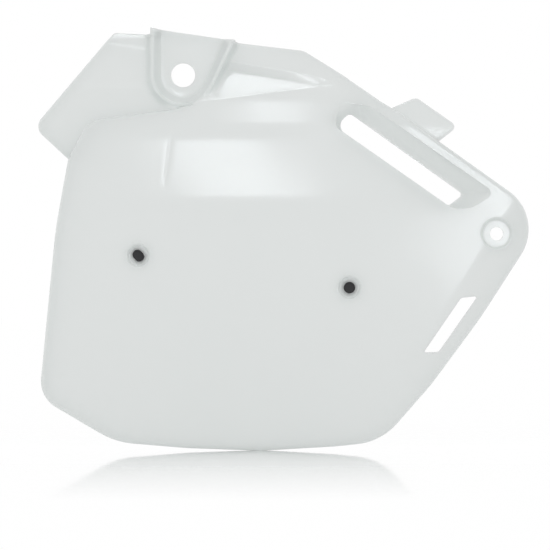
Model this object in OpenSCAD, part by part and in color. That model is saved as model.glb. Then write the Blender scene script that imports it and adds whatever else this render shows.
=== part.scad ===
// Motocross side panel, right-hand side: one thin moulding with a number-plate area.
// The origin is on the seat bolt's axis, inside the pocket floor. X points to the front of the bike,
// Z points up and the outer face looks along -Y.

/* [Moulding] */
// Wall thickness of the moulding
wall = 2.6; // [2:0.1:3.2]
// How deep the edges of the number plate are turned in
edge_return = 9; // [7:0.5:12]
// How deep the edges of the wing and the top strip are turned in
deck_return = 6; // [5:0.5:8]

/* [Number plate] */
// From the seat bolt back to the lower rear corner
rear_reach = 107.2; // [95:1:120]
// From the seat bolt forward to the front corner
front_reach = 272.2; // [262:1:290]
// From the seat bolt down to the lower edge
plate_drop = 286.5; // [275:1:300]
// From the seat bolt down to the front corner
front_drop = 108.4; // [104:1:114]
// From the lower edge up to the lower rear corner
heel_rise = 42.6; // [36:1:50]
// Run of the slanted edge below the lower rear corner
heel_run = 57.2; // [48:1:66]
// From the lower edge up to the end of that slanted edge
heel_end_rise = 9; // [8:0.5:10]
// Radius where the slanted edge runs into the lower edge
heel_end_r = 60; // [50:5:80]
// Radius of the lower edge
low_edge_r = 600; // [500:20:700]
// From the front corner back to the lower front corner
toe_back = 122.5; // [114:1:130]
// From the lower edge up to the lower front corner
toe_rise = 9.4; // [7:0.5:12]
// Angle at which the lower front edge sets out of the straight line between its corners
edge_bow = 3.5; // [2.5:0.1:4.5]
// Radius of that edge along its upper half
edge_mid_r = 400; // [340:10:440]
// Radius of that edge along its lower half
edge_low_r = 120; // [100:5:140]
// How far the rear edge bows out of the straight line between its corners
rear_bow = 2.1; // [1.6:0.1:2.6]
// Radius of the rear edge
rear_bow_r = 250; // [200:10:300]
// Radius of the front corner
front_corner_r = 31; // [24:1:36]
// Radius of the lower rear corner
heel_r = 23; // [16:1:28]
// Radius of the lower front corner
toe_r = 46; // [36:1:50]
// From the mounting plane out to the flat of the number plate
plate_stand = 33; // [30:0.5:36]

/* [Bends] */
// Radius of the bend that leans the top of the plate inwards
top_bend_r = 200; // [185:5:240]
// From the seat bolt down to the start of that bend
top_bend_drop = 105; // [98:1:110]
// Radius of the bend along the lower front edge
edge_bend_r = 120; // [100:5:160]
// Width of the bend along the lower front edge
edge_bend_w = 30; // [22:1:36]

/* [Wing and top strip] */
// From the mounting plane out to the face of the wing
deck_stand = 6; // [5:0.5:7]
// From the seat bolt back to the tip of the wing
wing_reach = 113.3; // [105:1:120]
// From the seat bolt down to the tip of the wing
wing_drop = 39.8; // [36:1:44]
// Radius of the wing's tip
wing_tip_r = 9; // [5:1:12]
// Height of the wing's top corner over the seat bolt
wing_top = 32.3; // [31:0.5:33]
// From the seat bolt back to the wing's top corner
wing_top_back = 50.9; // [48:1:54]
// From the seat bolt back to the foot of the wing, where it meets the plate
wing_foot_back = 85.6; // [84:0.5:88]
// From the seat bolt down to the foot of the wing
wing_foot_drop = 64.5; // [62:0.5:67]
// How far the strip above the fold leans back
strip_lean = 28; // [20:1:34]
// Height of the top strip over the seat bolt where it meets the pocket
strip_foot = 25; // [24:0.5:25.5]
// Height of the top strip over the seat bolt where it turns down to the rail
strip_top = 18.7; // [17:0.5:20]
// From the seat bolt forward to that turn
strip_turn = 91.5; // [88:1:94]
// Radius of that turn
strip_turn_r = 15; // [12:1:18]

/* [Crease and fold] */
// From the seat bolt forward to the upper end of the rail
rail_top_ahead = 127.8; // [126:0.5:130]
// From the seat bolt down to the upper end of the rail
rail_top_drop = 3.6; // [3:0.2:4.4]
// From the seat bolt forward to the front end of the crease
crease_front_ahead = 104; // [102:0.5:106]
// From the seat bolt down to the front end of the crease
crease_front_drop = 8.7; // [8:0.2:9.4]
// From the seat bolt forward to the bend in the crease under the pocket
crease_mid_ahead = 17; // [16:0.5:18]
// From the seat bolt down to that bend
crease_mid_drop = 20.4; // [20:0.2:22]
// From the seat bolt back to the rear end of the crease
crease_rear_back = 5.6; // [5:0.2:6.4]
// From the seat bolt down to the rear end of the crease
crease_rear_drop = 26.6; // [26:0.2:28]
// From the seat bolt back to the shoulder, where the plate's edge turns down
shoulder_back = 70.9; // [69:0.5:73]
// From the seat bolt down to the shoulder
shoulder_drop = 35.3; // [34:0.5:37]
// From the seat bolt back to the rear end of the fold
fold_rear_back = 57.7; // [56:0.5:60]
// Height of the rear end of the fold over the seat bolt
fold_rear_rise = 24; // [23:0.2:24.6]
// From the seat bolt down to the front end of the fold
fold_front_drop = 7; // [6.6:0.1:7.4]
// From the seat bolt forward to the broad end of the valley
valley_ahead = 32.3; // [31:0.5:34]
// Height of the broad end of the valley over the seat bolt
valley_rise = 3.8; // [3:0.2:4.6]
// Depth of the valley behind the face of the wing
valley_depth = 6; // [5:0.2:6.6]

/* [Seat bolt pocket] */
// Diameter of the seat bolt hole
seat_bolt_d = 18.2; // [14:0.2:20]
// Radius of the pocket at its rim
pocket_rim_r = 22; // [20:0.5:23]
// Radius of the pocket at its floor
pocket_floor_r = 17; // [15:0.5:18]
// How far the pocket's rim stands out from the mounting plane
rim_stand = 12; // [10:0.5:12.5]
// Width of the pocket's rim
rim_w = 2.6; // [2:0.1:3.2]
// How far the pocket's front side flares from upright
pocket_flare = 25.5; // [23:0.5:28]
// Height of the pocket's top edge over the seat bolt
boss_top = 32; // [31:0.2:33]
// How far the pocket's top edge falls to the front
boss_fall = 8.4; // [7:0.2:10]

/* [Rail and long slot] */
// From the front corner along the rail to the slot's front end
slot_start = 64; // [60:1:68]
// Length of the long slot at its lower edge
slot_len = 103; // [90:1:106]
// From the outer edge of the rail in to the slot's lower edge
slot_in = 36.7; // [34:0.5:38]
// Width of the slot that stays open behind the rail
slot_clear = 15.2; // [12:0.2:17]
// Width of the rail's face at its upper end
rail_w_top = 12.6; // [11:0.2:14]
// Width of the rail's face at its lower end
rail_w_low = 7; // [6.4:0.2:8.4]
// Depth of the wall that slants in behind the rail
scoop_depth = 14; // [11:0.5:17]

/* [Small slot] */
// From the front corner along the lower front edge to the small slot
small_slot_start = 78; // [72:1:84]
// Length of the small slot
small_slot_len = 50; // [40:1:56]
// Width of the small slot
small_slot_w = 9.3; // [6:0.1:10]
// How far its inner edge is shifted along the plate's edge
small_slot_skew = 6.5; // [3:0.5:9]
// From the lower front edge in to the small slot
small_slot_in = 11.6; // [9:0.2:13]
// How much further in its lower end lies
small_slot_drift = 1.3; // [0.4:0.1:2]

/* [Front bolt] */
// Diameter of the front bolt hole
front_bolt_d = 10; // [8:0.2:12]
// From the front corner back to the front bolt
front_bolt_back = 35.8; // [34:0.2:42]
// From the front corner down to the front bolt
front_bolt_down = 12.6; // [10:0.2:16]
// Diameter of the dish round the front bolt hole
front_dish_d = 24; // [21:0.5:26]
// Depth of the dish round the front bolt hole
front_dish_depth = 4; // [3:0.2:4.6]

/* [Plug recesses] */
// Distance between the two plugs along the plate
plug_spacing = 158.5; // [140:1:170]
// From the lower rear corner forward to the rear plug
rear_plug_ahead = 74.5; // [64:1:90]
// From the lower edge up to the rear plug
rear_plug_up = 149; // [130:1:156]
// How much lower the front plug sits than the rear one
plug_fall = 24; // [10:1:34]
// Diameter of each dished recess
plug_dish_d = 17.2; // [15:0.2:20]
// Depth of each dished recess
plug_dish_depth = 3; // [2:0.2:3.6]
// Diameter of the front plug's hole
round_hole_d = 7.6; // [6:0.2:8.6]
// Width of the rear plug's oval hole
oval_hole_w = 6.4; // [5:0.2:7.6]
// How much longer than wide the oval hole is
oval_extra = 2; // [1:0.2:3]
// Gap between a plug's shank and its hole
plug_gap = 0.1; // [0.05:0.05:0.2]
// Width of a plug's head beyond the hole
plug_head = 2.4; // [1.6:0.1:3]
// Thickness of a plug's head
plug_head_t = 1.6; // [1.2:0.1:2.4]
// Width of the lip that snaps over the edge of the hole
plug_lip = 0.5; // [0.3:0.1:0.8]
// Thickness of that lip
plug_lip_t = 0.7; // [0.5:0.1:1]

/* [Tab] */
// From the front corner along the rail to the tab
tab_start = 97; // [90:1:104]
// Length of the tab where it leaves the rail
tab_len = 46.8; // [38:1:52]
// How far the tab stands out past the rail
tab_out = 18.4; // [14:0.5:22]
// How far the tab's upper side slants
tab_slant = 11.8; // [8:0.5:16]
// How far the tab's lower side slants
tab_lead = 6; // [3:0.5:9]
// Radius of the tab's upper corner
tab_upper_r = 6; // [4:0.5:8]
// Radius of the tab's lower corner
tab_lower_r = 4; // [3:0.5:6]
// How far the tab runs in under the rail
tab_root = 6; // [4:0.5:7]
// From the face of the rail in to the face of the tab
tab_depth = 5.5; // [4:0.5:6]

/* [Hidden] */

// Angle between the points on a round corner
arc_step = 7;
// Reach of the cutting bodies, well past the panel
far = 700;
// How far back the full bodies run before they are hollowed
back_y = 60;
cut = 0.01;

// Faces across the panel, as places on Y
plate_y = -plate_stand;
deck_y = -deck_stand;
rim_y = -rim_stand;
floor_y = -wall / 2;

// Flat vectors in the plane of the panel are [x, z]
function unit(v) = v / norm(v);
function left(v) = [-v[1], v[0]];
function xz(c) = [c[0], c[1]];
function plus_r(p, r) = [p[0], p[1], r];
function at(list, i) = list[(i + len(list)) % len(list)];
function turn(u, v) = atan2(u[0] * v[1] - u[1] * v[0], u * v);

// Edge directions into and out of a corner
function edge_in(c, i) = unit(xz(c[i]) - xz(at(c, i - 1)));
function edge_out(c, i) = unit(xz(at(c, i + 1)) - xz(c[i]));

// A corner list [x, z, radius] as a smooth outline, counter-clockwise seen from the outer side
function corner_arc(c, i) =
    let (u = edge_in(c, i), v = edge_out(c, i), a = turn(u, v), r = c[i][2])
    r < 0.05 || abs(a) < 0.5 ? [xz(c[i])] :
    let (back = r * tan(abs(a) / 2), side = sign(a), start = xz(c[i]) - back * u)
    let (centre = start + side * r * left(u), steps = max(2, ceil(abs(a) / arc_step)))
    [for (k = [0:steps])
        let (b = a * k / steps)
        centre - side * r * (cos(b) * left(u) - sin(b) * u)];
function outline(c) = [for (i = [0:len(c) - 1]) each corner_arc(c, i)];

// The same corners with every edge moved inwards
function inset(c, d) = [for (i = [0:len(c) - 1])
    let (u = edge_in(c, i), v = edge_out(c, i), p = left(u), q = left(v))
    let (moved = xz(c[i]) + d * (p + q) / (1 + p * q), r = c[i][2])
    [moved[0], moved[1], r == 0 ? 0 : max(0, turn(u, v) > 0 ? r - d : r + d)]];

// Corners of the number plate
front_corner = [front_reach, -front_drop];
lower_front = [front_reach - toe_back, toe_rise - plate_drop];
lower_rear = [-rear_reach, heel_rise - plate_drop];
heel_corner = [heel_run - rear_reach, heel_end_rise - plate_drop];
low_middle = [(heel_corner[0] + 1.2 * lower_front[0]) / 2.2, -plate_drop];
rail_top = [rail_top_ahead, -rail_top_drop];
crease_front = [crease_front_ahead, -crease_front_drop];
crease_mid = [crease_mid_ahead, -crease_mid_drop];
crease_rear = [-crease_rear_back, -crease_rear_drop];
shoulder = [-shoulder_back, -shoulder_drop];
wing_foot = [-wing_foot_back, -wing_foot_drop];

// The rear edge and the lower front edge bow out
rear_edge = lower_rear - wing_foot;
rear_middle = wing_foot + 0.27 * rear_edge - rear_bow * left(unit(rear_edge));
edge_line = lower_front - front_corner;
edge_turn = atan2(edge_line[1], edge_line[0]) + edge_bow;
edge_dir = [cos(edge_turn), sin(edge_turn)];
edge_low_turn = edge_turn - edge_bow * 8 / 7;
edge_middle = front_corner + 0.43 * norm(edge_line) * edge_dir;
edge_low = edge_middle + 0.3 * norm(edge_line) * [cos(edge_low_turn), sin(edge_low_turn)];

plate_corners = [
    plus_r(lower_rear, heel_r),
    plus_r(heel_corner, heel_end_r),
    plus_r(low_middle, low_edge_r),
    plus_r(lower_front, toe_r),
    plus_r(edge_low, edge_low_r),
    plus_r(edge_middle, edge_mid_r),
    plus_r(front_corner, front_corner_r),
    plus_r(rail_top, 5),
    plus_r(crease_front, 12),
    plus_r(crease_mid, 20),
    plus_r(crease_rear, 20),
    plus_r(shoulder, 20),
    plus_r(wing_foot, 16),
    plus_r(rear_middle, rear_bow_r),
];

// Fold between the deck and the strip that leans back above it
fold_rear = [-fold_rear_back, fold_rear_rise];
fold_front = [rail_top_ahead - 0.5, -fold_front_drop];
fold_dir = unit(fold_front - fold_rear);

// Outer sides and top edge of the pocket
boss_r = pocket_rim_r + rim_w;
boss_reach = 3 * pocket_rim_r;
function boss_top_at(x) = [x, boss_top - x * tan(boss_fall)];
boss_front = boss_r / cos(pocket_flare) + (boss_top - rim_w * 2) * tan(pocket_flare);

// Corners of the wing and the top strip, closed under the number plate
deck_corners = [
    plus_r(wing_foot - [0.5, 0.5], 0),
    [0, -2 * pocket_rim_r, 0],
    [crease_front[0], crease_front[1] - pocket_rim_r, 0],
    plus_r(rail_top + [2.6, -3.8], 0),
    [strip_turn, strip_top, strip_turn_r],
    [boss_front, strip_foot, 0],
    plus_r(boss_top_at(boss_front - 1.3) - [0, 1], 0),
    plus_r(boss_top_at(1.8 - boss_r) - [0, 1], 0),
    [1.8 - boss_r, wing_top - 1.5, 0],
    [-wing_top_back, wing_top, 4],
    [-wing_reach, -wing_drop, wing_tip_r],
];

// Facet that falls from the crease to a valley, and the band that rises from the valley to the fold
facet_low = on_plate(crease_mid, 0);
facet_tip = on_plate(crease_front, 0);
valley = [valley_ahead, deck_y + valley_depth, valley_rise];
facet_step = 0.3;
fold_mid = [valley_ahead + 1.2, deck_y, valley_rise + valley_depth];
fold_end = [fold_front[0], deck_y, fold_front[1]];

// Places along the rail: s from the front corner, n inwards from the outer edge
rail_dir = unit(rail_top - front_corner);
rail_in = left(rail_dir);
function on_rail(s, n) = front_corner + s * rail_dir + n * rail_in;
function on_edge(s, n) = front_corner + s * edge_dir - n * left(edge_dir);

slot_end = slot_start + slot_len;
slot_upper = slot_in - slot_clear;
slot_turn = slot_end - 12;
slot_corners = [
    plus_r(on_rail(slot_end, slot_in), 7),
    plus_r(on_rail(slot_start - 9, slot_in), 22),
    plus_r(on_rail(slot_start - 20, rail_w_low + 1), 4),
    plus_r(on_rail(slot_turn, rail_w_top), 6),
    plus_r(on_rail(slot_end, slot_upper + 2), 5),
];

// Depth of the plate's outer face at a height, past the top bend's start
function bend_sag(z) = z < -top_bend_drop ? 0 : top_bend_r - sqrt(pow(top_bend_r, 2) - pow(z + top_bend_drop, 2));
function on_plate(p, depth) = [p[0], plate_y + bend_sag(p[1]) + depth, p[1]];

front_bolt = front_corner - [front_bolt_back, front_bolt_down];
rear_plug_at = [rear_plug_ahead - rear_reach, rear_plug_up - plate_drop];
front_plug_at = rear_plug_at + [plug_spacing, -plug_fall];
plug_oval_turn = 48;

// A flat outline in x and z, given depth from y0 to y1
module slab(points, y0, y1) {
    translate([0, y1, 0])
        rotate([90, 0, 0])
            linear_extrude(y1 - y0)
                polygon(points);
}

// Everything on the inner side of the plane through three points, moved inwards by shift
module behind(p1, p2, p3, shift) {
    raw = unit(cross(p2 - p1, p3 - p1));
    n = raw[1] < 0 ? -raw : raw;
    translate(p1 + shift * n)
        rotate(a = acos(n[2]), v = cross([0, 0, 1], n))
            translate([-far / 2, -far / 2, 0])
                cube([far, far, far / 2]);
}

// Place something on a line along Y through a point of the panel
module along_y(p, y) {
    translate([p[0], y, p[1]])
        rotate([-90, 0, 0])
            children();
}

// Everything behind the plate's outer face, moved inwards by depth: flat below, bent at the top
module behind_top_bend(depth) {
    translate([-far / 2, plate_y + depth, -far])
        cube([far, far / 2, far - top_bend_drop]);
    translate([-far / 2, plate_y + top_bend_r, -top_bend_drop])
        rotate([0, 90, 0])
            cylinder(r = top_bend_r - depth, h = far, $fn = 360);
}

// The same for the bend along the lower front edge
module behind_edge_bend(depth) {
    translate([front_corner[0], plate_y, front_corner[1]])
        rotate([0, -atan2(edge_dir[1], edge_dir[0]) - 180, 0])
            translate([-far / 2, 0, edge_bend_w]) {
                translate([0, depth, 0])
                    cube([far, far / 2, far]);
                translate([0, edge_bend_r, 0])
                    rotate([0, 90, 0])
                        cylinder(r = edge_bend_r - depth, h = far, $fn = 360);
            }
}

module behind_plate(depth) {
    intersection() {
        behind_top_bend(depth);
        behind_edge_bend(depth);
    }
}

// The number plate as a full body
module plate_body(t) {
    intersection() {
        slab(outline(inset(plate_corners, t)), plate_y - 1, back_y);
        behind_plate(t);
    }
}

// Everything behind the deck: flat below the fold, leaning back above it
module behind_deck(depth) {
    fold_out = [fold_rear[0], deck_y, fold_rear[1]];
    up = left(fold_dir);
    lean_point = fold_out + [up[0], tan(strip_lean), up[1]];
    intersection() {
        translate([-far / 2, deck_y + depth, -far / 2])
            cube([far, far / 4, far]);
        behind(fold_out, fold_end, lean_point, depth);
    }
}

// The triangle between the crease, the pocket and the fold
module valley_prism(under) {
    down = under * unit([crease_front[1] - crease_mid[1], crease_mid[0] - crease_front[0]]);
    slab([
        crease_mid + down,
        crease_front + down,
        fold_front,
        [fold_mid[0], fold_mid[2]],
        [fold_mid[0] - valley_depth - 2, fold_mid[2] + 1],
        pocket_rim_r * [0.32, -0.5],
        pocket_rim_r * [0.23, -1.09],
    ], plate_y, back_y);
}

module deck_body(t) {
    difference() {
        intersection() {
            slab(outline(inset(deck_corners, t)), deck_y - 1, back_y);
            behind_deck(t);
        }
        difference() {
            valley_prism(1);
            behind(fold_mid, fold_end, valley, t);
        }
    }
    intersection() {
        valley_prism(1 + t * 1.2);
        behind(facet_low, facet_tip, valley, facet_step + t);
    }
}

// Outer wall of the seat bolt pocket
module pocket_boss(t) {
    r = boss_r - t;
    intersection() {
        union() {
            along_y([0, 0], rim_y + t)
                cylinder(r = r, h = back_y, $fn = 96);
            translate([-r, rim_y + t, 0])
                cube([2 * r, back_y, far / 4]);
            rotate([0, pocket_flare, 0])
                translate([-r, rim_y + t, 0])
                    cube([2 * r, back_y, far / 4]);
        }
        slab(outline(inset([
            [-boss_reach, -boss_reach, 0],
            [boss_reach, -boss_reach, 0],
            plus_r(boss_top_at(boss_reach), 0),
            plus_r(boss_top_at(-boss_reach), 0),
        ], t)), rim_y - 1, back_y);
    }
}

// The pocket as a void, grown by g all round: a cone at the foot and two slanted sides above it
module pocket_void(g) {
    draft = atan((pocket_rim_r - pocket_floor_r) / (floor_y - rim_y));
    r_rim = pocket_rim_r + g / cos(draft);
    y_end = floor_y + g;
    r_end = r_rim - (y_end - rim_y) * tan(draft);
    half = [[r_rim, plate_y], [r_rim, rim_y], [r_end, y_end]];
    across = concat(half, [for (k = [2:-1:0]) [-half[k][0], half[k][1]]]);
    along_y([0, 0], 0)
        rotate_extrude($fn = 96)
            polygon(concat(half, [[0, y_end], [0, plate_y]]));
    for (turned = [0, pocket_flare])
        rotate([0, turned, 0])
            linear_extrude(far / 4)
                polygon(across);
}

// A dished recess as a void, grown by g all round
module dish_void(p, d, depth, g) {
    r = d / 2 + g;
    along_y(p, plate_y)
        rotate_extrude($fn = 72)
            polygon([[0, -1], [r, -1], [r, 0], [r - depth * 0.8, depth + g], [0, depth + g]]);
}

module dishes_void(g) {
    dish_void(rear_plug_at, plug_dish_d, plug_dish_depth, g);
    dish_void(front_plug_at, plug_dish_d, plug_dish_depth, g);
    dish_void(front_bolt, front_dish_d, front_dish_depth, g);
}

// The long slot as a void: square at its lower edge, its upper and front walls slanting in
module scoop_void(g) {
    upper_front = on_plate(on_rail(slot_start - 14, rail_w_low), 0);
    upper_back = on_plate(on_rail(slot_turn, slot_upper), scoop_depth);
    corner_back = on_plate(on_rail(slot_start - 4, slot_upper), scoop_depth);
    end_out = on_plate(on_rail(slot_start - 14.6, slot_upper), 0);
    end_in = on_plate(on_rail(slot_start - 2, slot_upper), scoop_depth);
    end_back = on_plate(on_rail(slot_start + 1.4, slot_in - 3), scoop_depth);
    difference() {
        slab(outline(inset(slot_corners, -g)), plate_y - 1, far / 8);
        behind(upper_front, corner_back, upper_back, g);
        behind(end_out, end_in, end_back, g);
    }
}

module small_slot_void() {
    s1 = small_slot_start;
    s2 = small_slot_start + small_slot_len;
    n1 = small_slot_in;
    n2 = small_slot_in + small_slot_drift;
    slab(outline([
        plus_r(on_edge(s1, n1), 0.5),
        plus_r(on_edge(s1 + small_slot_skew, n1 + small_slot_w), 3),
        plus_r(on_edge(s2 + small_slot_skew, n2 + small_slot_w), 0.5),
        plus_r(on_edge(s2, n2), 3),
    ]), plate_y - 1, far / 8);
}

// The oval or round bar that fills a plug's hole
module plug_bar(p, r, oval, y, h) {
    along_y(p, y)
        rotate([0, 0, plug_oval_turn]) {
            translate([oval / 2, 0, 0])
                cylinder(r = r, h = h, $fn = 64);
            if (oval > 0) {
                translate([-oval / 2, 0, 0])
                    cylinder(r = r, h = h, $fn = 64);
                translate([-oval / 2, -r, 0])
                    cube([oval, 2 * r, h]);
            }
        }
}

// Zone of the deck, where the edges are trimmed behind the deck and not behind the plate
module deck_zone() {
    slab(outline(inset(deck_corners, -wall)), plate_y - 1, far / 3);
}

module slot_zone() {
    slab(outline(inset(slot_corners, -wall - cut)), plate_y - 1, far / 3);
}

// What is cut away behind the turned-in edges
module behind_edges() {
    difference() {
        behind_plate(edge_return);
        deck_zone();
        slot_zone();
        pocket_void(wall);
    }
    intersection() {
        behind_plate(scoop_depth);
        slot_zone();
    }
    intersection() {
        difference() {
            behind_deck(deck_return);
            pocket_void(wall);
        }
        deck_zone();
    }
}

// The panel as if it were full, t under its outer face
module full_body(t) {
    difference() {
        union() {
            plate_body(t);
            deck_body(t);
            pocket_boss(t);
        }
        pocket_void(t);
        dishes_void(t);
        scoop_void(t);
    }
}

module tab() {
    s2 = tab_start + tab_len;
    root = tab_root / tab_out;
    intersection() {
        slab(outline([
            plus_r(on_rail(s2 + tab_slant * root, tab_root), 0),
            plus_r(on_rail(tab_start + tab_lead * root, tab_root), 0),
            plus_r(on_rail(tab_start - tab_lead, -tab_out), tab_lower_r),
            plus_r(on_rail(s2 - tab_slant, -tab_out), tab_upper_r),
        ]), plate_y, far / 8);
        difference() {
            behind_plate(tab_depth);
            behind_plate(tab_depth + wall);
        }
    }
}

module side_panel() {
    color([0.88, 0.9, 0.89])
        difference() {
            union() {
                difference() {
                    full_body(0);
                    full_body(wall);
                    behind_edges();
                }
                tab();
            }
            along_y([0, 0], rim_y)
                cylinder(d = seat_bolt_d, h = 2 * rim_stand, $fn = 96);
            along_y(front_bolt, plate_y)
                cylinder(d = front_bolt_d, h = plate_stand, $fn = 72);
            plug_bar(rear_plug_at, oval_hole_w / 2, oval_extra, plate_y, plate_stand);
            plug_bar(front_plug_at, round_hole_d / 2, 0, plate_y, plate_stand);
            small_slot_void();
        }
}

// A plug: head behind the wall, shank in the hole, lip snapped over its outer edge
module plug(p, hole_r, oval) {
    y_floor = plate_y + plug_dish_depth;
    color([0.04, 0.04, 0.045]) {
        plug_bar(p, hole_r + plug_lip, oval, y_floor - plug_lip_t, plug_lip_t);
        plug_bar(p, hole_r - plug_gap, oval, y_floor - cut, wall + 2 * cut);
        plug_bar(p, hole_r + plug_head, oval, y_floor + wall, plug_head_t);
    }
}

module rear_plug() {
    plug(rear_plug_at, oval_hole_w / 2, oval_extra);
}

module front_plug() {
    plug(front_plug_at, round_hole_d / 2, 0);
}

side_panel();
rear_plug();
front_plug();
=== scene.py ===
import math

import bmesh
import bpy
import numpy as np
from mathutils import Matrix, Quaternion, Vector
from mathutils.geometry import delaunay_2d_cdt
from mathutils.kdtree import KDTree


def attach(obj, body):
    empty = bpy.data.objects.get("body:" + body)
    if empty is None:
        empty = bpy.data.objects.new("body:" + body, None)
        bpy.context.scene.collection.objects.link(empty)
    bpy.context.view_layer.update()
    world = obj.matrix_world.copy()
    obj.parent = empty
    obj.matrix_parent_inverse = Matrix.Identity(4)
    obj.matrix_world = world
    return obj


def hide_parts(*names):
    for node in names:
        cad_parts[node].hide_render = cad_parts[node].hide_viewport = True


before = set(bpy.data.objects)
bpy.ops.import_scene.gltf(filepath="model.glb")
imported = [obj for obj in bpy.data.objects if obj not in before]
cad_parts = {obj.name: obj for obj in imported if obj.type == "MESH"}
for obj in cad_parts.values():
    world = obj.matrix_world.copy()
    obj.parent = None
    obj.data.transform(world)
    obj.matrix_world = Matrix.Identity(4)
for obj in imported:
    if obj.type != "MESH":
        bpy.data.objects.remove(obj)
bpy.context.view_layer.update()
scene = bpy.context.scene
scene.view_settings.view_transform = "Standard"

# Side panel
# One thin moulding in white polypropylene: a number plate bent back at its top, a wing, a sunk pocket
# for the seat bolt, a slot behind the front rail and a tab beside that rail. Two bolts hold it.

# Blender's shape operators can't put bends, a scoop and a pocket into one even wall, so the panel is
# made another way. Each of its faces is a depth y over the flat outline in x and z, in millimetres.
# The outline is triangulated flat, each point goes to its depth, and turned-in edges join the faces.
MM = 0.001
WALL = 2.6
PLATE_Y = -33.0
DECK_Y = -6.0
RIM_Y = -12.0
FLOOR_Y = -1.3
PLATE_RETURN = 9.0
DECK_RETURN = 6.0
TAB_DEPTH = 3.0

TOP_BEND_R, TOP_BEND_Z = 200.0, -105.0
EDGE_BEND_R, EDGE_BEND_W = 120.0, 30.0
STRIP_LEAN = math.radians(28)


def v2(x, z):
    return np.array([x, z], float)


def unit(v):
    return v / np.linalg.norm(v)


def left(v):
    return v2(-v[1], v[0])


def direction(turn):
    return v2(math.cos(turn), math.sin(turn))


SHARP_R = 0.05
STRAIGHT = 0.01


def rounded(corners, step=6.0):
    """Corners (x, z, radius), counter-clockwise, as an outline with round corners of step degrees."""
    out = []
    for i, (x, z, r) in enumerate(corners):
        p = v2(x, z)
        u = unit(p - v2(*corners[i - 1][:2]))
        v = unit(v2(*corners[(i + 1) % len(corners)][:2]) - p)
        turn = math.atan2(u[0] * v[1] - u[1] * v[0], u @ v)
        if r < SHARP_R or abs(turn) < STRAIGHT:
            out.append(p)
            continue
        side = math.copysign(1, turn)
        centre = p - r * math.tan(abs(turn) / 2) * u + side * r * left(u)
        steps = max(2, math.ceil(math.degrees(abs(turn)) / step))
        for k in range(steps + 1):
            b = turn * k / steps
            out.append(centre - side * r * (math.cos(b) * left(u) - math.sin(b) * u))
    return np.array(out)


OUTLINE_PITCH = 2.2
LINE_PITCH = 2.0
CLOSE_PITCH = 1.6


def finer(line, pitch=OUTLINE_PITCH, closed=True):
    """The same line with no stretch longer than pitch."""
    ends = np.roll(line, -1, 0) if closed else line[1:]
    out = []
    for a, b in zip(line, ends):
        n = max(1, math.ceil(np.linalg.norm(b - a) / pitch))
        out += [a + (b - a) * k / n for k in range(n)]
    if not closed:
        out.append(line[-1])
    return np.array(out)


def beside(line, d, closed=True):
    """The line moved d to its left."""
    before, after = np.roll(line, 1, 0), np.roll(line, -1, 0)
    if not closed:
        before[0] = 2 * line[0] - line[1]
        after[-1] = 2 * line[-1] - line[-2]
    out = []
    for p, a, b in zip(line, before, after):
        m, n = left(unit(p - a)), left(unit(b - p))
        out.append(p + d * (m + n) / max(0.5, 1 + m @ n))
    return np.array(out)


def inside_by(points, loop):
    """How far each point lies inside a closed outline, negative outside it."""
    near = np.full(len(points), 1e12)
    inside = np.zeros(len(points), bool)
    for s, t in zip(loop, np.roll(loop, -1, 0)):
        e, w = t - s, points - s
        h = np.clip((w @ e) / max(e @ e, 1e-12), 0, 1)
        near = np.minimum(near, ((w - h[:, None] * e) ** 2).sum(1))
        if s[1] != t[1]:
            crosses = (s[1] <= points[:, 1]) != (t[1] <= points[:, 1])
            inside ^= crosses & (points[:, 0] < s[0] + w[:, 1] * e[0] / e[1])
    return np.where(inside, 1, -1) * np.sqrt(near)


# Corners of the number plate, then of the wing and the top strip
front_corner = v2(272.2, -108.4)
lower_front = v2(149.7, -277.1)
lower_middle = v2(58.9, -286.5)
lower_rear = v2(-107.2, -243.9)
heel_corner = v2(-50.0, -277.5)
rail_top = v2(127.8, -3.6)
crease_front = v2(104.0, -8.7)
crease_mid = v2(17.0, -20.4)
crease_rear = v2(-5.6, -26.6)
shoulder = v2(-70.9, -35.3)
wing_foot = v2(-85.6, -64.5)
wing_tip = v2(-113.3, -39.8)
wing_top = v2(-52.4, 32.3)
strip_front = v2(91.9, 19.0)

# The rear edge bows out a little, and the front edge turns a little on its way down
REAR_BOW = 2.8
rear_edge = lower_rear - wing_foot
rear_middle = wing_foot + 0.3 * rear_edge - REAR_BOW * left(unit(rear_edge))
edge_line = lower_front - front_corner
edge_turn = math.atan2(edge_line[1], edge_line[0]) + math.radians(3.5)
edge_dir = direction(edge_turn)
edge_middle = front_corner + 0.43 * np.linalg.norm(edge_line) * edge_dir
edge_low = edge_middle + 0.3 * np.linalg.norm(edge_line) * direction(edge_turn - math.radians(4.0))
rail_dir = unit(rail_top - front_corner)
rail_in = left(rail_dir)
crease_in = left(unit(crease_front - crease_mid))


def on_rail(s, n):
    """The point s along the rail's edge from the front corner and n inside it."""
    return front_corner + s * rail_dir + n * rail_in


def on_edge(s, n):
    """The point s down the front edge from the front corner and n inside it."""
    return front_corner + s * edge_dir - n * left(edge_dir)


plate_outline = rounded([
    (*lower_rear, 23), (*heel_corner, 60), (*lower_middle, 600), (*lower_front, 46),
    (*(edge_low + 0.4 * left(edge_dir)), 120), (*(edge_middle + 0.5 * left(edge_dir)), 400),
    (*(front_corner - 0.9 * rail_dir), 35), (*on_rail(142, 0.1), 40), (*on_rail(150, 0.8), 40),
    (*(rail_top + 0.8 * rail_in), 5),
    (*crease_front, 12), (*crease_mid, 20), (*crease_rear, 20), (*shoulder, 20),
    (*wing_foot, 16), (*rear_middle, 250),
])
tab_outline = rounded([
    (*on_rail(145.6, 8.0), 0), (*on_rail(99.6, 8.0), 0),
    (*on_rail(92.3, -17.7), 4), (*on_rail(130.7, -17.7), 6),
])

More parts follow.
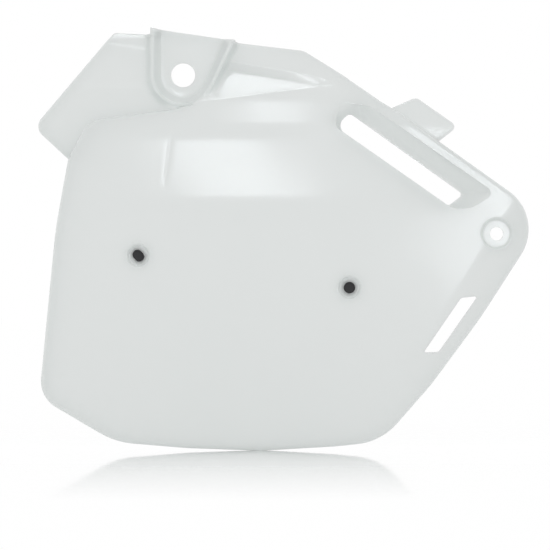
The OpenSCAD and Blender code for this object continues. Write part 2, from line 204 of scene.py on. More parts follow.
# The boss round the seat bolt is a half circle below and opens out in front by FLARE
BOSS_R, RIM_R, FLOOR_R = 24.6, 22.0, 17.0
FLARE = math.radians(25.5)
BOSS_TOP, BOSS_FALL = 32.0, math.tan(math.radians(8.4))
BOSS_RUN = 3.2
POCKET_SLOPE = (FLOOR_Y - RIM_Y) / (RIM_R - FLOOR_R)


def boss_top(x, gap=0.0):
    return v2(x, BOSS_TOP - x * BOSS_FALL - gap)


boss_front = BOSS_R / math.cos(FLARE) + (BOSS_TOP - 5.2) * math.tan(FLARE)
deck_outline = rounded([
    (*(wing_foot - 0.5), 0), (0, -44, 0), (104, -30.7, 0), (*(rail_top + v2(3.4, -5.0)), 0),
    (*(rail_top + v2(-3.0, 1.4)), 30), (*strip_front, 15), (boss_front, 25, 2),
    (*boss_top(boss_front - 1.3, 1), 0), (*boss_top(1.8 - BOSS_R, 1), 0), (1.8 - BOSS_R, 30.8, 0.8),
    (*wing_top, 4), (*wing_tip, 9),
])


def pocket_path(c, top_gap=0.0):
    """The line at distance c from the pocket's middle, from its top left round to its top right."""
    right_dir = v2(math.sin(FLARE), math.cos(FLARE))
    start = c * direction(-FLARE)
    up = (boss_top(start[0])[1] - start[1]) / (right_dir[1] + BOSS_FALL * right_dir[0]) - top_gap
    arc = [c * direction(a) for a in np.linspace(-math.pi, -FLARE, 40)]
    return np.array([boss_top(-c, top_gap)] + arc + [start + up * right_dir])


def pocket_reach(p):
    """Distance from the pocket's middle lines: a circle below, two straight bands above."""
    x, z = p.T
    across = x * math.cos(FLARE) - z * math.sin(FLARE)
    along = x * math.sin(FLARE) + z * math.cos(FLARE)
    r = np.hypot(x, z)
    r = np.where(z > 0, np.minimum(r, np.abs(x)), r)
    r = np.where(along > 0, np.minimum(r, np.abs(across)), r)
    return np.where((x > 0) & (across < 0), 0.0, r)


def plane(a, b, c):
    """A plane through three points (x, y, z), as a function that gives y over x and z."""
    n = np.cross(np.subtract(b, a), np.subtract(c, a))
    n = n / np.linalg.norm(n) * (1 if n[1] > 0 else -1)
    return lambda p, t=0.0: a[1] + (t - n[0] * (p[:, 0] - a[0]) - n[2] * (p[:, 1] - a[2])) / n[1]


def smooth_min(a, b, k):
    """The lesser of two values, blended over the width k where they are nearly equal."""
    h = np.clip(0.5 + 0.5 * (b - a) / k, 0, 1)
    return b + (a - b) * h - k * h * (1 - h)


def smooth_max(a, b, k):
    return -smooth_min(-a, -b, k)


def soft_step(value, start, end):
    w = np.clip((value - start) / (end - start), 0, 1)
    return w * w * (3 - 2 * w)


def round_over(d, r):
    """How far a round edge of radius r has dropped at the distance d inside its outline."""
    return r - np.sqrt(np.clip(r * r - np.clip(r - d, 0, r) ** 2, 0, None))


def bend(over, r, t):
    """How far a sheet bent to the radius r has gone back, at over beyond the bend's start."""
    return r - np.sqrt((r - t) ** 2 - np.clip(over, 0, None) ** 2)


def plate_face(p, t=0.0):
    """Depth of the number plate without its edges."""
    top = bend(p[:, 1] - TOP_BEND_Z, TOP_BEND_R, t)
    edge = bend(EDGE_BEND_W + (p - front_corner) @ left(edge_dir), EDGE_BEND_R, t)
    return PLATE_Y + top + edge - t


def place(p, depth):
    """The point p (x, z) at a depth behind the plate's face, as (x, y, z)."""
    return (p[0], plate_face(np.array([p]))[0] + depth, p[1])


# The top strip leans back above the fold line, and a rise runs down from it to the valley line
fold_rear, fold_front = v2(-57.7, 24.6), v2(127.3, -4.6)
valley_rear, valley_front = v2(29.7, 4.4), v2(104.4, -8.3)
fold_up = left(unit(fold_front - fold_rear))
strip_plane = plane((fold_rear[0], DECK_Y, fold_rear[1]), (fold_front[0], DECK_Y, fold_front[1]),
                    (fold_rear[0] + fold_up[0], DECK_Y + math.tan(STRIP_LEAN), fold_rear[1] + fold_up[1]))
facet_plane = plane(place(crease_mid, 0), place(crease_front, 0), (valley_rear[0], 0, valley_rear[1]))


def along_line(x, a, b):
    """The height at x of the straight line through two points."""
    return a[1] + (x - a[0]) * (b[1] - a[1]) / (b[0] - a[0])


FACET_REAR = v2(7.0, -11.0)


def facet_share(p):
    """1 where the facets lie, right of the pocket, and 0 beyond their rear end."""
    x, z = p.T
    up = z - FACET_REAR[1]
    rear = FACET_REAR[0] + up * np.where(up < 0, 0.155, 0.85)
    return soft_step(x - rear, 0, 3) * ((p - crease_mid) @ crease_in > -6)


def deck_face(p, t=0.0):
    """Depth of the wing, the top strip that leans back, the rise under it and the long facet."""
    x, z = p.T
    flat = smooth_max(np.full(len(p), DECK_Y + t), strip_plane(p, t), 0.9)
    fold_z, low_z = along_line(x, fold_rear, fold_front), along_line(x, valley_rear, valley_front)
    low = np.column_stack([x, low_z])
    low_y = np.where(x < valley_front[0], facet_plane(low, t), plate_face(low, t))
    down = (fold_z - z) / np.maximum(fold_z - low_z, 0.5)
    rise = DECK_Y + t + (low_y - DECK_Y - t) * down
    below = soft_step(fold_z - z, -0.6, 0.6)
    upper = flat * (1 - below) + rise * below
    over = (p - crease_mid) @ crease_in
    plate = plate_face(p, t)
    facet = np.where(over > 0, smooth_max(facet_plane(p, t), plate, 0.06), plate)
    share = facet_share(p)
    return flat * (1 - share) + smooth_min(upper, facet, 0.3) * share


STEEP_RUN = 0.5
LEAST_FALL = 0.6


def body_edge(face, d, r, low, run=STEEP_RUN, reach=1.2):
    """A face that ends at d = 0: round at its edge, then over run down to the surface low beside it."""
    out = face + round_over(d, r)
    fall = np.clip(-d / run, 0, reach)
    return np.where(d < 0, out + fall * np.maximum(low - out, LEAST_FALL), out)


# The long slot: its scooped front wall, the hole through it, and the small slot lower down
slot_front = rounded([
    (*on_rail(167, 36.4), 7), (*on_rail(52, 35.0), 22), (*on_rail(41, 8), 4),
    (*on_rail(155, 9), 6), (*on_rail(175, 20), 5),
])
slot_hole = finer(rounded([
    (*on_rail(167, 36.4), 7), (*on_rail(62.9, 35.1), 3.5), (*on_rail(59, 21.5), 2.5),
    (*on_rail(164.6, 21.5), 4),
], 12))
small_slot = finer(rounded([
    (*on_edge(77.2, 10.4), 1), (*on_edge(84.9, 20.2), 3), (*on_edge(134.5, 21.9), 1), (*on_edge(128, 12.6), 3),
], 15))
SCOOP_DEPTH = 14.0
SLOT_MIDDLE = 21.5
scoop_upper = plane(place(on_rail(50, 7), 0), place(on_rail(60, SLOT_MIDDLE), SCOOP_DEPTH),
                    place(on_rail(155, SLOT_MIDDLE), SCOOP_DEPTH))
scoop_end = plane(place(on_rail(46.4, SLOT_MIDDLE), 0), place(on_rail(59, SLOT_MIDDLE), SCOOP_DEPTH),
                  place(on_rail(62.4, 33.7), SCOOP_DEPTH))
scoop_rear = plane(place(on_rail(168, SLOT_MIDDLE), 2), place(on_rail(163, 12), 2),
                   place(on_rail(150, SLOT_MIDDLE), SCOOP_DEPTH))
SCOOP_BLEND = 1.5
# The plate sinks a little round the slot's rear end
DIP_DEPTH, DIP_REACH = 3.0, 9.0

# A faint sink mark where the flow met, and the filled corner between the boss and the plate
SINK_DEPTH, SINK_WIDTH, SINK_LENGTH = 0.16, 1.1, 42.0
sink_top = v2(-7.7, -45.8)
sink_dir = unit(v2(-13.4, -85.2) - sink_top)
FILL_DEPTH, FILL_R = 5.5, 8.0
fill_at = v2(-7, -27)

# The dished recesses: centre, radius and depth
DISH_RUN = 0.45
rear_plug_at, front_plug_at = v2(-32.7, -137.5), v2(125.8, -161.5)
front_bolt = front_corner - v2(35.8, 12.6)
DISHES = [(rear_plug_at, 8.6, 3.0), (front_plug_at, 8.6, 3.0), (front_bolt, 12.0, 4.0)]

# Radii of the deck's edge, the plate's edge and the boss's rim, outside and inside
OUTER_ROUNDS = (1.3, 2.2, 0.9)
INNER_ROUNDS = (0.5, 0.5, 0.4)
TAB_ROUND = 0.9

# How far two surfaces blend where they meet
BLEND = 1.6
RIM_BLEND, POCKET_FILLET = 0.7, 1.8
DISH_RIM_BLEND, DISH_FILLET = 0.5, 0.6
SCOOP_RIM_BLEND = 3.0
FAR_BELOW = 12


def dish_face(p, t, centre, radius, depth):
    r = radius + t - np.hypot(*(p - centre).T)
    wall = r / DISH_RUN * (1 + t / depth) - t
    return PLATE_Y + t + smooth_min(wall, np.full(len(p), depth), DISH_FILLET)


def scoop_face(p, t, face, d_slot):
    """Depth of the slot's scooped wall, well behind the face outside the slot's outline."""
    walls = smooth_min(scoop_upper(p, t), scoop_end(p, t), SCOOP_BLEND)
    walls = smooth_min(walls, scoop_rear(p, t), SCOOP_BLEND)
    scoop = np.minimum(walls, plate_face(p, t) + SCOOP_DEPTH)
    rise = np.maximum(scoop - face + SCOOP_BLEND, SCOOP_BLEND)
    return np.where(d_slot < 0, scoop + d_slot / STEEP_RUN * rise, scoop)


def panel_face(p, t=0.0):
    """Depth of the panel's outer face (t = 0) or of its inner face (t = WALL) over x and z."""
    r_edge, r_ridge, r_rim = OUTER_ROUNDS if t == 0 else INNER_ROUNDS
    d_plate = inside_by(p, plate_outline) - t
    d_deck = inside_by(p, deck_outline) - t
    d_tab = inside_by(p, tab_outline) - t
    share = facet_share(p)
    fill = FILL_DEPTH * np.exp(-(np.hypot(*(p - fill_at).T) / FILL_R) ** 2)
    deck = deck_face(p, t) - fill * (1 - share)
    deck = np.where(d_deck < r_edge, body_edge(deck, d_deck, r_edge, deck + FAR_BELOW), deck)
    tab = body_edge(plate_face(p, t) + TAB_DEPTH, d_tab, TAB_ROUND, deck)
    deck = np.where(d_tab > -TAB_DEPTH - t, tab, deck)
    plate = body_edge(plate_face(p, t), d_plate, r_ridge, deck)
    face = np.minimum(plate, deck) * share + smooth_min(plate, deck, BLEND) * (1 - share)

    reach = pocket_reach(p)
    d_top = (BOSS_TOP - p[:, 0] * BOSS_FALL - p[:, 1]) / math.hypot(1, BOSS_FALL)
    d_boss = np.minimum(BOSS_R - reach, d_top) - t
    boss = body_edge(np.full(len(p), RIM_Y + t), d_boss, r_rim, face, BOSS_RUN, 3.0)
    face = smooth_min(boss, face, BLEND)
    grown = RIM_R + t * math.hypot(1, 1 / POCKET_SLOPE)
    wall = RIM_Y + (grown - reach) * POCKET_SLOPE
    pocket = smooth_min(wall, np.full(len(p), FLOOR_Y + t), POCKET_FILLET)
    face = smooth_max(face, pocket, RIM_BLEND)
    for dish in DISHES:
        face = smooth_max(face, dish_face(p, t, *dish), DISH_RIM_BLEND)

    off, down = (p - sink_top) @ left(sink_dir), (p - sink_top) @ sink_dir
    sink = SINK_DEPTH * np.exp(-(off / SINK_WIDTH) ** 2)
    face = face + sink * soft_step(down, -4, 4) * soft_step(-down, -SINK_LENGTH, 12 - SINK_LENGTH)

    d_slot = inside_by(p, slot_front) + t
    scoop = scoop_face(p, t, face, d_slot)
    s, n = (p - front_corner) @ rail_dir, (p - front_corner) @ rail_in
    dip = DIP_DEPTH * np.clip(1 + inside_by(p, slot_hole) / DIP_REACH, 0, 1) ** 1.4
    face = face + dip * soft_step(s, 120, 160) * soft_step(-n, -37, -25)
    return smooth_max(face, scoop, np.where(d_slot > -0.2, SCOOP_RIM_BLEND, RIM_BLEND))


SLIVER = 0.003


def sheet(ring, holes, lines, area, pitch):
    """A flat triangulated sheet: its points, triangles, and the numbers of the points on each loop."""
    points, edges, loops = [], [], []
    for loop in [ring] + holes:
        n = len(points)
        loops.append(list(range(n, n + len(loop))))
        points += list(loop)
        edges += [(n + k, n + (k + 1) % len(loop)) for k in range(len(loop))]
    for line, clear in lines:
        gap = np.min([inside_by(line, ring)] + [-inside_by(line, h) for h in holes], axis=0)
        last = None
        for p, g in zip(line, gap):
            if g < clear:
                last = None
                continue
            points.append(p)
            if last is not None:
                edges.append((last, len(points) - 1))
            last = len(points) - 1
    tree = KDTree(len(points))
    for k, p in enumerate(points):
        tree.insert((p[0], p[1], 0), k)
    tree.balance()
    rows = np.arange(area[1], area[3], pitch * 0.87)
    grid = np.array([v2(x + (k % 2) * pitch / 2, z) for k, z in enumerate(rows)
                     for x in np.arange(area[0], area[2], pitch)])
    gap = np.min([inside_by(grid, ring)] + [-inside_by(grid, h) for h in holes], axis=0)
    for p in grid[gap > 0.6 * pitch]:
        if tree.find((p[0], p[1], 0))[2] > 0.55 * pitch:
            points.append(p)
    found = delaunay_2d_cdt([Vector(p) for p in points], edges, [], 0, 1e-4, True)
    flat = np.array([tuple(p) for p in found[0]])
    where = {k: new for new, old in enumerate(found[3]) for k in old}
    tris = np.array(found[2])
    middle = flat[tris].mean(1)
    keep = inside_by(middle, ring) > SLIVER
    for h in holes:
        keep &= inside_by(middle, h) < -SLIVER
    return flat, tris[keep], [[where[k] for k in loop] for loop in loops]


def outer_ring(outlines):
    """The outline round several overlapping outlines."""
    points, edges = [], []
    for loop in outlines:
        n = len(points)
        points += list(loop)
        edges += [(n + k, n + (k + 1) % len(loop)) for k in range(len(loop))]
    found = delaunay_2d_cdt([Vector(p) for p in points], edges, [], 0, 1e-4, False)
    flat = np.array([tuple(p) for p in found[0]])
    tris = np.array(found[2])
    middle = flat[tris].mean(1)
    keep = np.max([inside_by(middle, loop) for loop in outlines], axis=0) > 0
    used = {(a, b) for t in tris[keep] for a, b in ((t[0], t[1]), (t[1], t[2]), (t[2], t[0]))}
    after = {a: b for a, b in used if (b, a) not in used}
    start = max(after, key=lambda k: flat[k][0])
    loop, k = [start], after[start]
    while k != start:
        loop.append(k)
        k = after[k]
    return flat[loop]


ring = finer(outer_ring([plate_outline, deck_outline, pocket_path(BOSS_R), tab_outline]))
LEAST_GAP = 0.25
ring = ring[np.linalg.norm(np.roll(ring, -1, 0) - ring, axis=1) > LEAST_GAP]


def unfold(moved, loop, gap):
    """Points of a moved outline that crossed over at a tight corner, laid evenly between their neighbours."""
    good = np.abs(inside_by(moved, loop)) > gap - 0.05
    out = moved.copy()
    n = len(moved)
    for k in range(n):
        if good[k] and not good[(k + 1) % n]:
            run = 1
            while not good[(k + run) % n]:
                run += 1
            for m in range(1, run):
                out[(k + m) % n] = moved[k] + (moved[(k + run) % n] - moved[k]) * m / run
    return out


def oval_loop(centre, r, count, extra=0.0, turn=0.0):
    """A circle of count points, or an oval that is longer by extra along the direction turn."""
    axis = direction(turn)
    out = []
    for a in np.arange(count) * 2 * math.pi / count:
        d = direction(a)
        out.append(centre + r * d + axis * extra / 2 * (1 if d @ axis > 0 else -1))
    return np.array(out)


SEAT_HOLE_R, BOLT_HOLE_R = 9.1, 5.0
REAR_HOLE_R, OVAL_EXTRA, OVAL_TURN = 3.2, 2.0, math.radians(-48)
FRONT_HOLE_R = 3.8
plain_holes = [
    oval_loop(v2(0, 0), SEAT_HOLE_R, 72), oval_loop(front_bolt, BOLT_HOLE_R, 48),
    oval_loop(rear_plug_at, REAR_HOLE_R, 40, OVAL_EXTRA, OVAL_TURN),
    oval_loop(front_plug_at, FRONT_HOLE_R, 40), small_slot,
]


def shape_lines(t):
    """Lines along every ridge, foot and rim of a face, so that its triangles follow them."""
    rim_offsets = (0.15, 0.5, 0.95, 1.5) if t == 0 else (t + 0.4, t + 1)
    lines = [(beside(ring, d), 0.02) for d in rim_offsets]

    def follow(line, offsets, closed=False, clear=1.7 + t):
        return [(beside(line, d, closed), clear) for d in offsets]

    plate_offsets = (-1.7, -0.9, -0.5, -0.2, 0.0, 0.3, 0.8, 1.4, 2.2, 3.2)
    lines += follow(finer(plate_outline, CLOSE_PITCH), [t + d for d in plate_offsets], True)
    fold_start = fold_rear - 60 * unit(fold_front - fold_rear)
    fold = finer(np.array([fold_start, fold_front]), OUTLINE_PITCH, False)
    lines += follow(fold, (-1.2, -0.5, 0, 0.5, 1.2))
    valley = finer(np.array([valley_rear, valley_front, valley_front + v2(24, -3)]), LINE_PITCH, False)
    for line in (valley, finer(np.array([crease_mid, crease_front]), LINE_PITCH, False)):
        lines += follow(line, (-1.2, -0.4, 0, 0.4, 1.2))
    for c in (4.4, 3.4, 2.6, 1.6, 0.8, 0.2, 0, -0.25, -0.7):
        lines.append((finer(pocket_path(BOSS_R - t + c), 1.5, False), 1.7 + t))
    for c in (0.8, 0.35, 0, -0.35, -0.9):
        for r in (RIM_R, FLOOR_R):
            lines.append((finer(pocket_path(r + 0.47 * t + c, -2), 1.3, False), 0.5))
    for centre, radius, depth in DISHES:
        for c in (0.9, 0.4, 0, -0.4, -0.9):
            lines.append((oval_loop(centre, radius + t + c, 60), 0.2))
            lines.append((oval_loop(centre, radius + t - DISH_RUN * depth + c, 52), 0.2))
    sink = finer(np.array([sink_top - 5 * sink_dir, sink_top + 44 * sink_dir]), LINE_PITCH, False)
    lines += follow(sink, (-2.4, -1.4, -0.7, 0, 0.7, 1.4, 2.4))
    slot_offsets = (-3.0, -1.5, -0.8, -0.4, 0, 0.4, 1.0, 2.0, 3.2, 4.6)
    lines += follow(finer(slot_front, CLOSE_PITCH), [d - t for d in slot_offsets], True, 0.12)
    for hole in plain_holes + [slot_hole]:
        lines += follow(hole, (-0.2, -0.5, -0.9), True, 0.1)
    return lines


def add_sheet(bm, flat, tris, depth):
    verts = {}
    for k in sorted(set(tris.ravel().tolist())):
        verts[k] = bm.verts.new((flat[k][0] * MM, depth[k] * MM, flat[k][1] * MM))
    for t in tris:
        bm.faces.new([verts[k] for k in t])
    return verts


def join(bm, a, b):
    for k in range(len(a)):
        n = (k + 1) % len(a)
        bm.faces.new((a[k], a[n], b[n], b[k]))


def row(bm, flat, depth):
    return [bm.verts.new((p[0] * MM, y * MM, p[1] * MM)) for p, y in zip(flat, depth)]


def edge_end(p, at_slot):
    """How far back each edge runs: behind the plate, behind the deck or through the slot."""
    plate = plate_face(p)
    if at_slot:
        return plate + SCOOP_DEPTH
    at_deck = soft_step(inside_by(p, deck_outline), -4.2, -1.8)
    at_tab = np.clip(inside_by(p, tab_outline) / 2.4 + 1, 0, 1)
    deck = np.maximum(deck_face(p), DECK_Y) + DECK_RETURN
    return (plate + PLATE_RETURN * (1 - at_tab)) * (1 - at_deck) + deck * at_deck


SHEET_AREA = (-112, -286, 274, 38)
SHEET_PITCH = 3.0
SLOT_WALL = 3.9
# A turned-in edge's end is rounded by these falls, and by this share of its width on each side
END_FALL_OUTSIDE, END_FALL_INSIDE, END_SHARE = 0.5, 0.35, 0.16


def add_panel(bm):
    """The closed moulding: outer and inner face, with turned-in edges and plain holes."""
    loops_out = [ring, slot_hole] + plain_holes
    loops_in = [unfold(beside(ring, WALL), ring, WALL), beside(slot_hole, -SLOT_WALL)] + plain_holes
    sheets = []
    for t, loops in ((0.0, loops_out), (WALL, loops_in)):
        flat, tris, found = sheet(loops[0], loops[1:], shape_lines(t), SHEET_AREA, SHEET_PITCH)
        depth = panel_face(flat, t)
        verts = add_sheet(bm, flat, tris, depth)
        sheets.append([([verts[k] for k in loop], depth[loop]) for loop in found])
    for k, (a, b) in enumerate(zip(loops_out, loops_in)):
        (top, top_depth), (low, low_depth) = sheets[0][k], sheets[1][k]
        if k > 1:
            join(bm, top, low)
            continue
        end = np.maximum(edge_end(a, k == 1), np.maximum(top_depth + 0.9, low_depth + 0.4))
        inwards = b - a
        rows = [top,
                row(bm, a, end - END_FALL_OUTSIDE),
                row(bm, a + END_SHARE * inwards, end),
                row(bm, b - END_SHARE * inwards, end),
                row(bm, b, end - END_FALL_INSIDE),
                low]
        for one, two in zip(rows, rows[1:]):
            join(bm, one, two)


def finish(bm, name, material):
    """The mesh as a smooth object with its material, normals out."""
    bmesh.ops.recalc_face_normals(bm, faces=bm.faces)
    for f in bm.faces:
        f.smooth = True
    mesh = bpy.data.meshes.new(name)
    bm.to_mesh(mesh)
    bm.free()
    mesh.materials.append(material)
    piece = bpy.data.objects.new(name, mesh)
    scene.collection.objects.link(piece)
    return piece


def add_node(tree, kind, values=(), **settings):
    """A shader node with its input values and its settings."""
    node = tree.nodes.new(kind)
    for name, value in settings.items():
        setattr(node, name, value)
    for name, value in dict(values).items():
        node.inputs[name].default_value = value
    return node


def new_material(name):
    """A material with its node tree and its skin, the shader that stands in it from the start."""
    material = bpy.data.materials.new(name)
    material.use_nodes = True
    return material, material.node_tree, material.node_tree.nodes["Principled BSDF"]


def noise(tree, place_at, scale, detail):
    node = add_node(tree, "ShaderNodeTexNoise", {"Scale": scale, "Detail": detail})
    tree.links.new(place_at.outputs["Object"], node.inputs["Vector"])
    return node


def tone_ramp(tree, skin, pattern, dark, pale):
    """The base colour, from dark to pale along a pattern; each is (position, colour)."""
    ramp = add_node(tree, "ShaderNodeValToRGB")
    for element, (position, colour) in zip(ramp.color_ramp.elements, (dark, pale)):
        element.position = position
        element.color = (*colour, 1)
    tree.links.new(pattern.outputs["Fac"], ramp.inputs["Fac"])
    tree.links.new(ramp.outputs["Color"], skin.inputs["Base Color"])


def bumps(tree, skin, pattern, strength, distance):
    node = add_node(tree, "ShaderNodeBump", {"Strength": strength, "Distance": distance})
    tree.links.new(pattern.outputs["Fac"], node.inputs["Height"])
    tree.links.new(node.outputs["Normal"], skin.inputs["Normal"])


def polypropylene():
    """Semi-gloss white plastic that lets light through, with slight clouds, flow marks and dull spots."""
    material, tree, skin = new_material("white_polypropylene")
    place_at = add_node(tree, "ShaderNodeTexCoord")
    clouds = noise(tree, place_at, 14.0, 3.0)
    tone_ramp(tree, skin, clouds, (0.3, (0.752, 0.800, 0.784)), (0.7, (0.764, 0.812, 0.796)))
    polish = noise(tree, place_at, 60.0, 4.0)
    gloss = add_node(tree, "ShaderNodeMapRange", {"To Min": 0.09, "To Max": 0.12})
    tree.links.new(polish.outputs["Fac"], gloss.inputs["Value"])
    tree.links.new(gloss.outputs["Result"], skin.inputs["Roughness"])
    bumps(tree, skin, noise(tree, place_at, 22.0, 1.0), 0.06, 0.002)
    skin.inputs["IOR"].default_value = 1.5
    skin.inputs["Subsurface Weight"].default_value = 1.0
    skin.inputs["Subsurface Radius"].default_value = (1.0, 1.0, 1.0)
    skin.inputs["Subsurface Scale"].default_value = 0.012
    return material


bm = bmesh.new()
add_panel(bm)
panel = finish(bm, "panel", polypropylene())
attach(panel, "root")
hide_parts("side_panel")

# Rubber plugs
# Two black rubber plugs close the holes in the sunk dishes: an oval one behind and a round one in
# front. Each is one turned body, pushed in from the inner side, and a thin lip holds it.


def black_rubber():
    """Matt black rubber with a fine grain."""
    material, tree, skin = new_material("black_rubber")
    grain = noise(tree, add_node(tree, "ShaderNodeTexCoord"), 900.0, 3.0)
    tone_ramp(tree, skin, grain, (0.0, (0.008, 0.008, 0.009)), (1.0, (0.018, 0.018, 0.020)))
    bumps(tree, skin, grain, 0.25, 0.0002)
    skin.inputs["Roughness"].default_value = 0.62
    return material


DISH_FLOOR_Y = PLATE_Y + 3.0
WALL_BACK_Y = DISH_FLOOR_Y + WALL
HEAD_T = 1.6
PLUG_STEPS = 56


def plug_profile(r):
    """Half of a plug's section as (radius, y): sunk face, lip, shank and head; r is its hole's radius."""
    return [
        (0, DISH_FLOOR_Y - 0.35), (r - 1.9, DISH_FLOOR_Y - 0.35), (r - 1.1, DISH_FLOOR_Y - 0.35),
        (r - 0.5, DISH_FLOOR_Y - 0.45), (r + 0.15, DISH_FLOOR_Y - 0.68), (r + 0.42, DISH_FLOOR_Y - 0.58),
        (r + 0.5, DISH_FLOOR_Y - 0.35), (r + 0.45, DISH_FLOOR_Y - 0.06), (r + 0.2, DISH_FLOOR_Y - 0.01),
        (r - 0.1, DISH_FLOOR_Y - 0.01), (r - 0.1, WALL_BACK_Y + 0.01), (r + 0.3, WALL_BACK_Y + 0.01),
        (r + 2.0, WALL_BACK_Y + 0.02), (r + 2.35, WALL_BACK_Y + 0.3), (r + 2.4, WALL_BACK_Y + 0.9),
        (r + 2.1, WALL_BACK_Y + 1.4), (r + 1.6, WALL_BACK_Y + HEAD_T), (r - 0.5, WALL_BACK_Y + HEAD_T),
        (r - 1.3, WALL_BACK_Y + HEAD_T), (0, WALL_BACK_Y + HEAD_T),
    ]


def plug(name, node, centre, r, material, extra=0.0, turn=0.0):
    """A plug turned about its axis, then pulled longer by extra along the direction turn."""
    bm = bmesh.new()
    half = row(bm, [centre + v2(size, 0) for size, y in plug_profile(r)], [y for size, y in plug_profile(r)])
    edges = [bm.edges.new(pair) for pair in zip(half, half[1:])]
    middle = (centre[0] * MM, 0, centre[1] * MM)
    bmesh.ops.spin(bm, geom=half + edges, cent=middle, axis=(0, 1, 0), angle=2 * math.pi,
                   steps=PLUG_STEPS, use_merge=True)
    bmesh.ops.remove_doubles(bm, verts=bm.verts, dist=1e-6)
    axis = direction(turn)
    pull = Vector((axis[0], 0, axis[1]))
    for v in bm.verts:
        side = (v.co - Vector(middle)).dot(pull)
        if abs(side) > 1e-6:
            v.co += pull * math.copysign(extra / 2 * MM, side)
    piece = finish(bm, name, material)
    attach(piece, "root")
    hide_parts(node)


rubber = black_rubber()
plug("plug_rear", "rear_plug", rear_plug_at, REAR_HOLE_R, rubber, OVAL_EXTRA, OVAL_TURN)
plug("plug_front", "front_plug", front_plug_at, FRONT_HOLE_R, rubber)

# Floor
# A pale glossy table top that the panel stands on. It mirrors the panel just in front of it, and is
# plain white further forward and behind.
FLOOR_Z = -0.28385
FLOOR_HALF = 6.0
MIRROR_START_Y, MIRROR_FULL_Y, MIRROR_SHARE = -0.51, -0.03, 0.94
MIRROR_GONE_Y, MIRROR_BACK_Y = 0.30, 0.02
# What the camera sees is its own glow and a grey that takes the shadow: together they are white
WHITE_GLOW, SHADOW_TONE = 0.65, 0.45
# Other rays see a floor as bright as the surround
PLAIN_GLOW, PLAIN_TONE = 0.155, 0.8


def floor_material():
    """White with a soft shadow and a mirror share for the camera, and plain pale for all other rays."""
    material = bpy.data.materials.new("pale_gloss_floor")
    material.use_nodes = True
    tree = material.node_tree
    tree.nodes.clear()
    link = tree.links.new
    result = add_node(tree, "ShaderNodeOutputMaterial")
    white = add_node(tree, "ShaderNodeEmission", {"Strength": WHITE_GLOW})
    shadowed = add_node(tree, "ShaderNodeBsdfDiffuse", {"Color": (*[SHADOW_TONE] * 3, 1)})
    matt = add_node(tree, "ShaderNodeBsdfDiffuse", {"Color": (*[PLAIN_TONE] * 3, 1)})
    glow = add_node(tree, "ShaderNodeEmission", {"Strength": PLAIN_GLOW})
    mirror = add_node(tree, "ShaderNodeBsdfGlossy", {"Color": (1, 1, 1, 1), "Roughness": 0.06})
    path = add_node(tree, "ShaderNodeLightPath")
    split = add_node(tree, "ShaderNodeSeparateXYZ")
    link(add_node(tree, "ShaderNodeTexCoord").outputs["Object"], split.inputs["Vector"])
    fade = add_node(tree, "ShaderNodeMapRange", {
        "From Min": MIRROR_START_Y, "From Max": MIRROR_FULL_Y, "To Min": 0.0, "To Max": MIRROR_SHARE})
    behind = add_node(tree, "ShaderNodeMapRange", {"From Min": MIRROR_GONE_Y, "From Max": MIRROR_BACK_Y})
    share = add_node(tree, "ShaderNodeMath", operation="MULTIPLY")
    for k, part in enumerate((fade, behind)):
        link(split.outputs["Y"], part.inputs["Value"])
        link(part.outputs["Result"], share.inputs[k])
    ground = add_node(tree, "ShaderNodeAddShader")
    link(white.outputs["Emission"], ground.inputs[0])
    link(shadowed.outputs["BSDF"], ground.inputs[1])
    below = add_node(tree, "ShaderNodeAddShader")
    link(matt.outputs["BSDF"], below.inputs[0])
    link(glow.outputs["Emission"], below.inputs[1])
    shown = add_node(tree, "ShaderNodeMixShader")
    link(share.outputs["Value"], shown.inputs["Fac"])
    link(ground.outputs["Shader"], shown.inputs[1])
    link(mirror.outputs["BSDF"], shown.inputs[2])
    seen = add_node(tree, "ShaderNodeMixShader")
    link(path.outputs["Is Camera Ray"], seen.inputs["Fac"])
    link(below.outputs["Shader"], seen.inputs[1])
    link(shown.outputs["Shader"], seen.inputs[2])
    link(seen.outputs["Shader"], result.inputs["Surface"])
    return material


bm = bmesh.new()
bmesh.ops.create_grid(bm, x_segments=1, y_segments=1, size=FLOOR_HALF)
bmesh.ops.translate(bm, verts=bm.verts, vec=(0, 0, FLOOR_Z))
floor_mesh = bpy.data.meshes.new("floor")
bm.to_mesh(floor_mesh)
bm.free()
floor_mesh.materials.append(floor_material())
floor = bpy.data.objects.new("floor", floor_mesh)
scene.collection.objects.link(floor)

# Surround
# An even grey-white room lights the panel from all sides. It shows white to the camera and in
# reflections, as a photographer's paper backdrop does.
AMBIENT = 0.775
world = bpy.data.worlds.new("surround")
scene.world = world
world.use_nodes = True
tree = world.node_tree
tree.nodes.clear()
result = add_node(tree, "ShaderNodeOutputWorld")
path = add_node(tree, "ShaderNodeLightPath")
ambient = add_node(tree, "ShaderNodeBackground", {"Color": (1, 1, 1, 1), "Strength": AMBIENT})
backdrop = add_node(tree, "ShaderNodeBackground", {"Color": (1, 1, 1, 1), "Strength": 1.0})
either = add_node(tree, "ShaderNodeMixShader")
first_two = add_node(tree, "ShaderNodeMath", operation="MAXIMUM")
all_three = add_node(tree, "ShaderNodeMath", operation="MAXIMUM")
tree.links.new(path.outputs["Is Camera Ray"], first_two.inputs[0])
tree.links.new(path.outputs["Is Glossy Ray"], first_two.inputs[1])
tree.links.new(first_two.outputs["Value"], all_three.inputs[0])
tree.links.new(path.outputs["Is Transmission Ray"], all_three.inputs[1])
tree.links.new(all_three.outputs["Value"], either.inputs["Fac"])
tree.links.new(ambient.outputs["Background"], either.inputs[1])
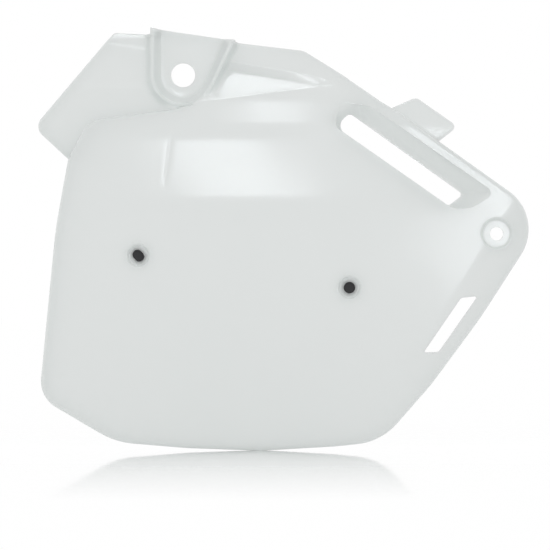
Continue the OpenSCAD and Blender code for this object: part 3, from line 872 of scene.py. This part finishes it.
tree.links.new(backdrop.outputs["Background"], either.inputs[2])
tree.links.new(either.outputs["Shader"], result.inputs["Surface"])

# Soft boxes
# Five small lamps that only show as reflections: the streak down the plate, the rail's shine, the
# glow at the front corner, and the pale facet and crease under the top strip.
LAMP_COLOUR = (0.91, 0.96, 1.0)
FRONT_Y = -2.0
FRONT_Z = 0.75
OVERHEAD_Z = 0.9


def soft_box(name, at, towards, size, power, turn=0.0):
    """A lamp at a place (x, y, z) that shines towards a direction and is turned in its own plane."""
    lamp = bpy.data.lights.new(name, "AREA")
    lamp.shape = "RECTANGLE"
    lamp.size, lamp.size_y = size
    lamp.energy = power
    lamp.color = LAMP_COLOUR
    holder = bpy.data.objects.new(name, lamp)
    scene.collection.objects.link(holder)
    holder.location = at
    facing = Vector(towards).to_track_quat("-Z", "Y")
    holder.rotation_euler = (facing @ Quaternion((0, 0, 1), math.radians(turn))).to_euler()
    holder.visible_diffuse = False
    holder.visible_camera = False


BACK, DOWN = (0, 1, 0), (0, 0, -1)
soft_box("front_box", (0.003, FRONT_Y, FRONT_Z), BACK, (0.157, 1.10), 2.5, 3.0)
soft_box("rail_box", (0.35, FRONT_Y, FRONT_Z), BACK, (0.12, 1.8), 3.8, 5.7)
soft_box("corner_box", (0.365, FRONT_Y, -0.125), BACK, (0.12, 0.17), 0.17, 45.0)
soft_box("overhead_box_front", (0.067, -0.87, OVERHEAD_Z), DOWN, (0.067, 0.34), 0.29)
soft_box("overhead_box_rear", (0.055, -0.35, OVERHEAD_Z), DOWN, (0.20, 0.24), 0.86)

# Camera
# A long lens, square on to the number plate, 2.2 m in front of it.
LENS_MM, SENSOR_MM = 192.0, 36.0
camera_data = bpy.data.cameras.new("camera")
camera_data.sensor_width = SENSOR_MM
camera_data.lens = LENS_MM
camera = bpy.data.objects.new("camera", camera_data)
scene.collection.objects.link(camera)
camera.location = (0.0699, PLATE_Y * MM - 2.2, -0.152)
camera.rotation_euler = (math.radians(90), 0, 0)
scene.camera = camera
